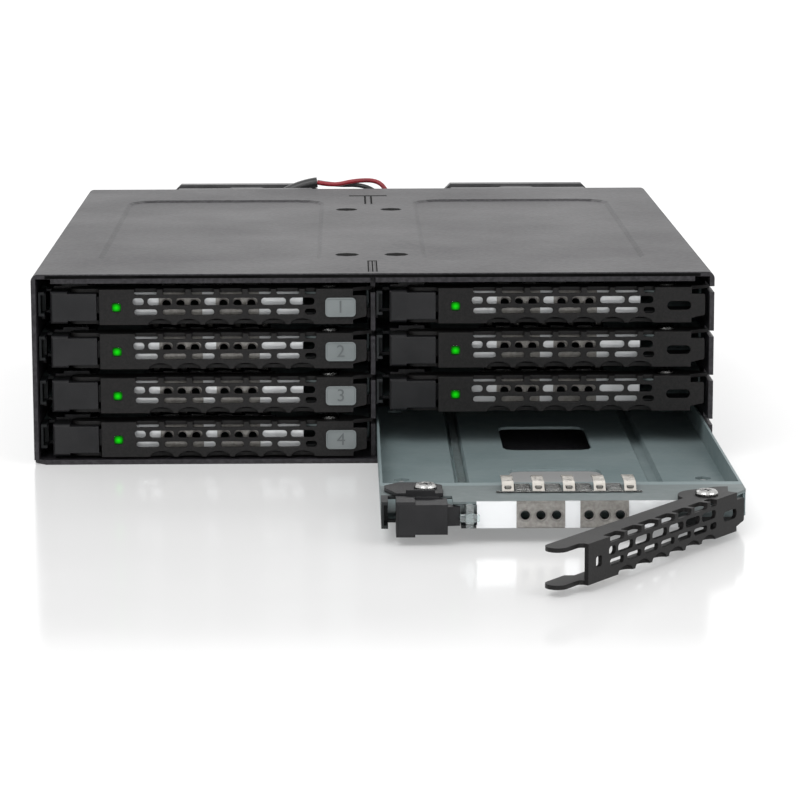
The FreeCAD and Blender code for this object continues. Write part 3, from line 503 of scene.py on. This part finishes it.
def pivot_screws(number, shift):
    """The screws that the lever and the latch turn on."""
    def build(bm):
        radius, length = (v * MM for v in SCREW_SHANK)
        for x, y in SCREWS:
            centre = Vector((x, y, LEVER_TOP + 0.05)) * MM + shift
            cross_screw(bm, centre, *SCREW_HEAD)
            lathe(bm, [(0, -length), (radius, -length), (radius, 0), (0, 0)], centre, 20)

    return built(f"pivot_screws_{number}", build, nickel, f"tray_{number}_slider")


def spring_fingers(number, shift):
    """Five arched fingers on a band, with the rounded tabs between them."""
    def fingers(bm):
        for k in range(-2, 3):
            x = FINGER_X + k * FINGER_PITCH
            strip(bm, FINGER_LINE, FINGER_GAUGE, x - FINGER_HALF, x + FINGER_HALF, shift)
            slab(bm, (x - 0.6, 11.6, 7.35), (x + 0.6, 12.3, 8.15), shift, 0.12)

    def tabs(bm):
        slab(bm, (FINGER_X - BAND_HALF, 10.9, 6.8), (FINGER_X + BAND_HALF, 11.5, 7.15), shift, 0.12)
        for k in range(-2, 2):
            x = FINGER_X + (k + 0.5) * FINGER_PITCH
            slab(bm, (x - TAB_HALF, 11.3, 6.8), (x + TAB_HALF, 18.6, 7.1), shift, 0.14, 3)
            slab(bm, (x - TAB_HALF, 11.6, 7.0), (x + TAB_HALF, 12.0, 7.35), shift, 0.12)

    body = f"tray_{number}_slider"
    plates = built(f"finger_tabs_{number}", tabs, tab_steel, body)
    springs = built(f"spring_fingers_{number}", fingers, spring, body)
    return plates, springs


def vent_rims(number, shift):
    """Rolled rims of the holes in the tray's two vent plates."""
    def build(bm):
        for x in PLATE_X:
            for k in (-1, 0, 1):
                ring = bmesh.new()
                lathe(ring, [(r * MM, h * MM) for r, h in RIM_PROFILE], Vector(), 24)
                move = Matrix.Translation(Vector((x + k * VENT_PITCH, PLATE_FACE, VENT_Z)) * MM + shift)
                matrix = move @ Matrix.Rotation(math.pi / 2, 4, "X")
                bmesh.ops.transform(ring, matrix=matrix, verts=ring.verts)
                mesh = bpy.data.meshes.new("ring")
                ring.to_mesh(mesh)
                bm.from_mesh(mesh)
                bpy.data.meshes.remove(mesh)
                ring.free()
        bmesh.ops.remove_doubles(bm, verts=bm.verts, dist=SAME_PLACE)

    built(f"vent_rims_{number}", build, vent_rim, f"tray_{number}_slider")


def pipe_holder(number, shift):
    """Clear cross that carries the light pipe's end behind the lever."""
    def build(bm):
        slab(bm, (LAMP_X - 0.7, 1.55, 1.9), (LAMP_X + 0.7, 2.75, 6.7), shift, 0.15)
        slab(bm, (LAMP_X - 1.9, 1.6, 3.1), (LAMP_X + 1.9, 2.7, 4.5), shift, 0.15)

    built(f"pipe_holder_{number}", build, pipe_clear, f"tray_{number}_slider")


def lamp_end(number, shift):
    """Lit end of the light pipe of a tray that is pushed home."""
    def build(bm):
        half, rise = LAMP_HALF
        low, high = (LAMP_X - half, 0.35, LAMP_Z - rise), (LAMP_X + half, 1.1, LAMP_Z + rise)
        slab(bm, low, high, shift, 0.2, 4)

    built(f"lamp_{number}", build, lamp_green, f"tray_{number}_slider")


def tray_parts():
    """Each tray's screws, fingers, rims, light pipe holder and lamp."""
    for number in TRAYS:
        shift = tray_corner(number)
        screws = pivot_screws(number, shift)
        tabs, springs = spring_fingers(number, shift)
        for item in (screws, tabs, springs):
            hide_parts(f"tray_fittings_{number}")
        vent_rims(number, shift)
        pipe_holder(number, shift)
        if number != OPEN_TRAY:
            lamp_end(number, shift)


# ---------------------------------------------------------------- swing levers
LEVER_LEFT, LEVER_RIGHT = -22.25, 34.85
LEVER_FRONT, LEVER_GAUGE, LEVER_LOW = 0.5, 0.8, 0.05
LEVER_END = LEVER_RIGHT - 2.9
PRONG_FRONT, PRONG_BACK, PRONG_REACH = 2.2, 6.5, 6.5
LOW_FLANGE_BACK = 5.0
EAR_RADIUS, PIVOT_HOLE = 5.5, 1.5
SLOT_FIRST, SLOT_PITCH, SLOT_COUNT = -12.35, 6.08, 6
SLOT_HALF, MIDDLE_HALF, SHORT_HALF = 2.45, 2.65, 1.2
LOW_ROW, MIDDLE_ROW = (2.1, 3.4, 0.6), (4.2, 5.8, 0.72)     # bottom, top and corner radius
FACE_BAY, FLANGE_BAY = (-1.15, 0.45), (1.7, 0.6)            # signed depth and corner radius
FACE_SCALLOP, FLANGE_SCALLOP, SCALLOP_INSET = 1.25, 1.5, 0.1
TOOTH = ((7.5, 2.6), (9.0, 1.0), (9.3, 0.6))                # from the pivot
GRIP_X, GRIP_Z = 29.3, 3.7
GRIP_HALF = (2.55, 0.95)        # half sizes across and up, as the next two
TILE_HALF = (3.25, 2.05)
BOSS_HALF = (2.5, 0.9)
TILE_RIM = 0.3
CORNER_STEPS = 5


def arc(centre, radius, start, end, steps):
    """Points of an arc in degrees; radius is a number or an (across, up) pair."""
    wide, tall = radius if isinstance(radius, tuple) else (radius, radius)
    angles = [math.radians(start + (end - start) * k / steps) for k in range(steps + 1)]
    return [(centre[0] + wide * math.cos(a), centre[1] + tall * math.sin(a)) for a in angles]


def rounded(u0, u1, v0, v1, radius):
    """A rectangle with rounded corners."""
    corners = ((u1 - radius, v0 + radius, -90), (u1 - radius, v1 - radius, 0),
               (u0 + radius, v1 - radius, 90), (u0 + radius, v0 + radius, 180))
    return [p for u, v, start in corners for p in arc((u, v), radius, start, start + 90, CORNER_STEPS)]


def centred(x, z, half, radius):
    """A rounded rectangle about a middle, from its half sizes across and up."""
    return rounded(x - half[0], x + half[0], z - half[1], z + half[1], radius)


def bay_between(middle, half, edge, depth, radius):
    """A round-cornered bay cut into an edge, from left to right; depth is signed."""
    side = 1 if depth > 0 else -1
    inner = edge + depth - side * radius
    left = arc((middle - half + radius, inner), radius, 180, 180 - 90 * side, CORNER_STEPS)
    right = arc((middle + half - radius, inner), radius, 90 * side, 0, CORNER_STEPS)
    return [(middle - half, edge)] + left + right + [(middle + half, edge)]


def plate(bm, loops, gauge, place):
    """A flat plate: loops are its outline and holes, and place turns (u, v, w) into a point."""
    sides = []
    for w in (0, gauge):
        edges, rings = [], []
        for loop in loops:
            ring = [bm.verts.new(place(u, v, w)) for u, v in loop]
            edges += [bm.edges.new(pair) for pair in zip(ring, ring[1:] + ring[:1])]
            rings.append(ring)
        bmesh.ops.triangle_fill(bm, use_beauty=True, use_dissolve=False, edges=edges)
        sides.append(rings)
    for low, high in zip(*sides):
        for k in range(len(low)):
            after = (k + 1) % len(low)
            bm.faces.new((low[k], low[after], high[after], high[k]))


def slot_places():
    """Middle and half length of the slots of the upper and lower rows, and of the middle row."""
    rows = [(SLOT_FIRST + SLOT_PITCH * k, SLOT_HALF) for k in range(SLOT_COUNT)]
    rows.append((SLOT_FIRST + SLOT_PITCH * SLOT_COUNT - (SLOT_HALF - SHORT_HALF), SHORT_HALF))
    middle = [(SLOT_FIRST - SLOT_PITCH / 2 + (MIDDLE_HALF - SHORT_HALF), SHORT_HALF)]
    middle += [(SLOT_FIRST + SLOT_PITCH * (k - 0.5), MIDDLE_HALF) for k in range(1, SLOT_COUNT + 1)]
    return rows, middle


def lever_face():
    """Outline and holes of the upright face, with scallops below and open slots above."""
    rows, middle = slot_places()
    outline = [(LEVER_LEFT, LEVER_LOW)]
    for x, half in middle[1:]:
        outline += arc((x, LEVER_LOW), (half - SCALLOP_INSET, FACE_SCALLOP), 180, 0, 12)
    outline += [(LEVER_END, LEVER_LOW), (LEVER_END, 1.0), (LEVER_RIGHT - 0.9, 1.5)]
    outline += arc((LEVER_RIGHT - 0.6, 2.1), 0.6, -60, 0, 4) + arc((LEVER_RIGHT - 0.4, 5.8), 0.4, 0, 90, 4)
    outline += [(LEVER_END, 6.2), (LEVER_END, LEVER_TOP)]
    for x, half in reversed(rows):
        outline += reversed(bay_between(x, half, LEVER_TOP, *FACE_BAY))
    outline.append((LEVER_LEFT, LEVER_TOP))
    holes = [rounded(x - half, x + half, *LOW_ROW) for x, half in rows]
    holes += [rounded(x - half, x + half, *MIDDLE_ROW) for x, half in middle]
    holes.append(centred(LAMP_X, LAMP_Z, (1.0, 1.0), 0.5))
    holes.append(centred(GRIP_X, GRIP_Z, GRIP_HALF, 0.9))
    return [outline] + holes


def prong(back):
    """The lever's free end, from its front corner round the prong to the back edge."""
    radius = (PRONG_BACK - PRONG_FRONT) / 2
    tip = (LEVER_LEFT - PRONG_REACH + radius, PRONG_FRONT + radius)
    waist = [(LEVER_LEFT, LEVER_FRONT), (LEVER_LEFT, 1.5),
             (LEVER_LEFT - 0.35, 2.0), (LEVER_LEFT - 0.8, PRONG_FRONT)]
    return waist + arc(tip, radius, -90, -270, 12) + [(LEVER_LEFT + 1.5, PRONG_BACK)] + back


def lever_top_flange():
    """Outline of the top flange with its pivot ear, and the pivot's hole."""
    rows, _ = slot_places()
    x0, y0 = SCREWS[0]
    ear_start = math.degrees(math.acos((PRONG_BACK - y0) / EAR_RADIUS)) + 90
    back = arc((x0, y0), EAR_RADIUS, ear_start, 45, 14)
    back += [(x0 + across, y0 + behind) for across, behind in TOOTH] + [(LEVER_END, y0 - 1.8)]
    outline = prong(back) + [(LEVER_END, LEVER_FRONT)]
    for x, half in reversed(rows):
        outline += reversed(bay_between(x, half, LEVER_FRONT, *FLANGE_BAY))
    return [outline, arc((x0, y0), PIVOT_HOLE, 0, 345, 23)]


def lever_low_flange():
    """Outline of the lower flange, whose front edge is scalloped."""
    _, middle = slot_places()
    back = [(LEVER_LEFT + 2.5, LOW_FLANGE_BACK), (LEVER_END, LOW_FLANGE_BACK)]
    outline = prong(back) + [(LEVER_END, LEVER_FRONT)]
    for x, half in reversed(middle[1:]):
        outline += arc((x, LEVER_FRONT), (half - SCALLOP_INSET, FLANGE_SCALLOP), 0, 180, 12)
    return [outline]


def joined(name, builds):
    """One closed mesh in metres from overlapping closed meshes that builds make in millimetres."""
    items = []
    for k, build in enumerate(builds):
        item = bpy.data.objects.new(f"{name}_{k}", mesh_of(f"{name}_{k}", build))
        scene.collection.objects.link(item)
        items.append(item)
    for other in items[1:]:
        modifier = items[0].modifiers.new("join", "BOOLEAN")
        modifier.operation = "UNION"
        modifier.solver = "EXACT"
        modifier.object = other
    bpy.context.view_layer.update()
    mesh = bpy.data.meshes.new_from_object(items[0].evaluated_get(bpy.context.evaluated_depsgraph_get()))
    for item in items:
        bpy.data.meshes.remove(item.data)   # takes the object with it
    mesh.transform(Matrix.Scale(MM, 4))
    return mesh


def swing_levers():
    """Channel levers with round-ended slots and a scalloped lower bend, in place of the plainer solids."""
    swings = {joint["name"]: joint for joint in frame["joints"]}
    channel = joined("channel", (
        lambda bm: plate(bm, lever_face(), LEVER_GAUGE, lambda u, v, w: (u, LEVER_FRONT + w, v)),
        lambda bm: plate(bm, lever_top_flange(), LEVER_GAUGE, lambda u, v, w: (u, v, LEVER_TOP - w)),
        lambda bm: plate(bm, lever_low_flange(), LEVER_GAUGE, lambda u, v, w: (u, v, LEVER_LOW + w))))
    pivot = Matrix.Translation(Vector((SCREWS[0][0], SCREWS[0][1], 0)) * MM)
    for number in TRAYS:
        closed = swings[f"lever_{number}_swing"]["range_deg"][0]
        turn = Matrix.Rotation(math.radians(-closed), 4, "Z")
        mesh = channel.copy()
        mesh.transform(Matrix.Translation(tray_corner(number)) @ pivot @ turn @ pivot.inverted())
        lever = piece(f"swing_lever_{number}", mesh, lever_coat, f"lever_{number}_arm")
        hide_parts(f"lever_{number}")
    bpy.data.meshes.remove(channel)


# ---------------------------------------------------------------- seams of the cover
COVER_TOP = 41.3
HEM_SHADE_STRIP = (-70.0, -0.04, 40.38), (70.0, 0.1, 41.02)    # two corners of a black strip of painted shade, under the folded front edge
FRONT_TAB = (2.5, 19.0)
BACK_TAB = (125.5, 142.0)
BOARD_TAB = (142.5, 144.1)
BOARD_HALF = 4.8


def cover_seams():
    """Dark gaps round the tabs that come up through the cover, and a black strip of painted shade under its
    folded front edge.
    """
    def build(bm):
        shift = Vector((0, -ORIGIN_Y * MM, 0))
        low, high = COVER_TOP - 0.1, COVER_TOP + 0.015

        def line(x0, x1, y0, y1):
            slab(bm, (x0, y0, low), (x1, y1, high), shift)

        for x in (-1.05, -0.15, 0.75):
            line(x, x + 0.3, FRONT_TAB[0], FRONT_TAB[1])
        line(-1.05, 1.05, FRONT_TAB[1], FRONT_TAB[1] + 0.9)
        for x in (-1.0, 0.6):
            line(x, x + 0.4, BACK_TAB[0], BOARD_TAB[0])
        line(-BOARD_HALF, BOARD_HALF, *BOARD_TAB)
        # painted shade: a black strip stands in for the shaded gap under the cover's folded front edge
        slab(bm, *HEM_SHADE_STRIP, shift)

    built("cover_seams", build, black_screw, "cage")


# ---------------------------------------------------------------- number tiles
def digit(number, low, high):
    """A plain digit on the tile whose box goes from low to high."""
    text = bpy.data.curves.new(f"digit_{number}", "FONT")
    text.body = str(number)
    text.size = (high.z - low.z) * 0.92
    text.extrude = 0.04 * MM
    text.align_x = "CENTER"
    text.align_y = "CENTER"
    text.materials.append(tile_mark)
    mark = bpy.data.objects.new(f"digit_{number}", text)
    mark.location = ((low.x + high.x) / 2, low.y + 0.05 * MM, (low.z + high.z) / 2)
    mark.rotation_euler = (math.pi / 2, 0, 0)
    scene.collection.objects.link(mark)
    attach(mark, f"lever_{number}_arm")


def number_tiles():
    """Rounded grey tiles with a raised rim and a plain digit, in the slots of the left levers."""
    for number in TILED_LEVERS:
        low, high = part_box(f"number_tile_{number}")
        shift = tray_corner(number)

        def build(bm):
            outer = centred(GRIP_X, GRIP_Z, TILE_HALF, 0.85)
            inner = centred(GRIP_X, GRIP_Z, [half - TILE_RIM for half in TILE_HALF], 0.6)
            boss = centred(GRIP_X, GRIP_Z, BOSS_HALF, 0.85)
            # loops, front face and gauge of the tile's body, its rim and the part in the slot
            layers = (([outer], 0.12, 0.38), ([outer, inner], 0.05, 0.07), ([boss], 0.5, 0.8))
            for loops, start, gauge in layers:
                plate(bm, loops, gauge, lambda u, v, w: Vector((u, start + w, v)) * MM + shift)

        tile = built(f"rimmed_tile_{number}", build, tile_grey, f"lever_{number}_arm")
        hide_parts(f"number_tile_{number}")
        digit(number, low, high)


# ---------------------------------------------------------------- fan lead
SLEEVE_ROUTE = [(-21.5, 167.2, 39.6), (-17.2, 167.2, 41.7), (-13.2, 167.2, 42.2)]
RED_ROUTE = [(-13.2, 166.58, 42.2), (-9.014, 166.5, 41.3), (-3.19, 166.6, 42.7), (2.998, 166.7, 42.7),
             (5.546, 163.6, 39.6), (6.001, 158.7, 37.3), (6.0, 156.1, 37.3)]
BLACK_ROUTE = [(-13.2, 167.82, 42.2), (-8.65, 167.9, 41.3), (-1.006, 167.4, 41.5), (3.362, 163.0, 39.4),
               (4.199, 158.6, 37.3), (4.2, 156.1, 37.3)]
SLEEVE_RADIUS, WIRE_RADIUS = 1.35, 0.6


def wire(name, route, radius, finish):
    """A round wire along control points that are measured from the cage's front face and underside."""
    curve = bpy.data.curves.new(name, "CURVE")
    curve.dimensions = "3D"
    curve.bevel_depth = radius * MM
    curve.bevel_resolution = 4
    curve.use_fill_caps = True
    spline = curve.splines.new("NURBS")
    spline.points.add(len(route) - 1)
    for point, (x, y, z) in zip(spline.points, route):
        point.co = (x * MM, (y - ORIGIN_Y) * MM, z * MM, 1)
    spline.order_u = 3
    spline.use_endpoint_u = True
    curve.materials.append(finish)
    item = bpy.data.objects.new(name, curve)
    scene.collection.objects.link(item)
    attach(item, "cage")
    return item


def fan_lead():
    """The left fan's lead, from its sleeve to the plug on the backplane."""
    sleeve = wire("lead_sleeve", SLEEVE_ROUTE, SLEEVE_RADIUS, wire_black)
    wire("lead_red", RED_ROUTE, WIRE_RADIUS, wire_red)
    wire("lead_black", BLACK_ROUTE, WIRE_RADIUS, wire_black)
    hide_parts("fan_lead")


# ---------------------------------------------------------------- floor, light and camera
FLOOR_HALF = 6.0                # metres
FLOOR_DROP = 0.02
FLOOR_LIFT = 0.25               # light that the floor adds where it is seen, so that it reaches white
WORLD_SEEN, WORLD_DIFFUSE = 1.0, 0.75
LENS, LENS_SHIFT = 144.7, 0.0276
CAMERA_PLACE = (-5.9, -679.6 - ORIGIN_Y, 136.6)
CAMERA_PITCH, CAMERA_YAW, CAMERA_ROLL = 10.24, -0.58, 0.18      # degrees


def table():
    """White table with a soft sheen, white to its far edge."""
    mesh = mesh_of("floor", lambda bm: bmesh.ops.create_grid(bm, x_segments=1, y_segments=1, size=FLOOR_HALF))
    floor = bpy.data.objects.new("floor", mesh)
    floor.location = (0, 0, -FLOOR_DROP * MM)
    scene.collection.objects.link(floor)
    paper = Finish("paper", (0.62, 0.62, 0.62), 0.14)
    paper.rough(paper.noise(30.0), 0.12, 0.16)
    rays = paper.nodes.new("ShaderNodeLightPath")
    seen = paper.sum_up("MAXIMUM", rays.outputs["Is Camera Ray"], rays.outputs["Is Glossy Ray"])
    seen = paper.sum_up("MAXIMUM", seen, rays.outputs["Is Transmission Ray"])
    paper.shader.inputs["Emission Color"].default_value = (1, 1, 1, 1)
    paper.links.new(paper.times(seen, FLOOR_LIFT), paper.shader.inputs["Emission Strength"])
    mesh.materials.append(paper.material)


def sky():
    """White all round, a little weaker as light on the object than as what is seen."""
    world = bpy.data.worlds.new("studio")
    scene.world = world
    world.use_nodes = True
    nodes, links = world.node_tree.nodes, world.node_tree.links
    rays = nodes.new("ShaderNodeLightPath")
    soft = nodes.new("ShaderNodeMapRange")
    soft.inputs["To Min"].default_value = WORLD_SEEN
    soft.inputs["To Max"].default_value = WORLD_DIFFUSE
    links.new(rays.outputs["Is Diffuse Ray"], soft.inputs["Value"])
    background = nodes["Background"]
    background.inputs["Color"].default_value = (1, 1, 1, 1)
    links.new(soft.outputs["Result"], background.inputs["Strength"])


def lamp(name, place, target, size, power):
    """A rectangular lamp; places and sizes in metres, power in watts."""
    data = bpy.data.lights.new(name, "AREA")
    data.shape = "RECTANGLE"
    data.size, data.size_y = size
    data.energy = power
    item = bpy.data.objects.new(name, data)
    item.location = place
    item.rotation_euler = (Vector(target) - Vector(place)).to_track_quat("-Z", "Y").to_euler()
    scene.collection.objects.link(item)


def lights():
    """Key, fill and back lamps, and a weak low one that reaches into the slots."""
    lamp("key", (-0.5, -0.9, 1.1), (0, 0, 0.02), (0.8, 0.8), 9.0)
    lamp("fill", (0.9, -0.7, 0.5), (0, 0, 0.02), (0.8, 0.6), 4.0)
    lamp("back", (0.0, 0.9, 0.7), (0, 0, 0.03), (1.2, 0.4), 3.0)
    lamp("low", (0.1, -0.8, 0.12), (0.03, -0.1, 0.01), (0.5, 0.08), 0.6)


def camera():
    """The lens and standpoint of the view that the cage is shown from."""
    data = bpy.data.cameras.new("camera")
    data.lens = LENS
    data.sensor_width = 36.0
    data.shift_x = LENS_SHIFT
    item = bpy.data.objects.new("camera", data)
    pitch, yaw, roll = (math.radians(angle) for angle in (CAMERA_PITCH, CAMERA_YAW, CAMERA_ROLL))
    turn = Matrix.Rotation(yaw, 4, "Z") @ Matrix.Rotation(math.pi / 2 - pitch, 4, "X")
    turn = turn @ Matrix.Rotation(-roll, 4, "Z")
    item.matrix_world = Matrix.Translation(Vector(CAMERA_PLACE) * MM) @ turn
    scene.collection.objects.link(item)
    scene.camera = item


dress_cad()
tray_parts()
swing_levers()
cover_seams()
number_tiles()
fan_lead()
table()
sky()
lights()
camera()
scene.view_settings.view_transform = "Standard"

bpy.context.view_layer.update()
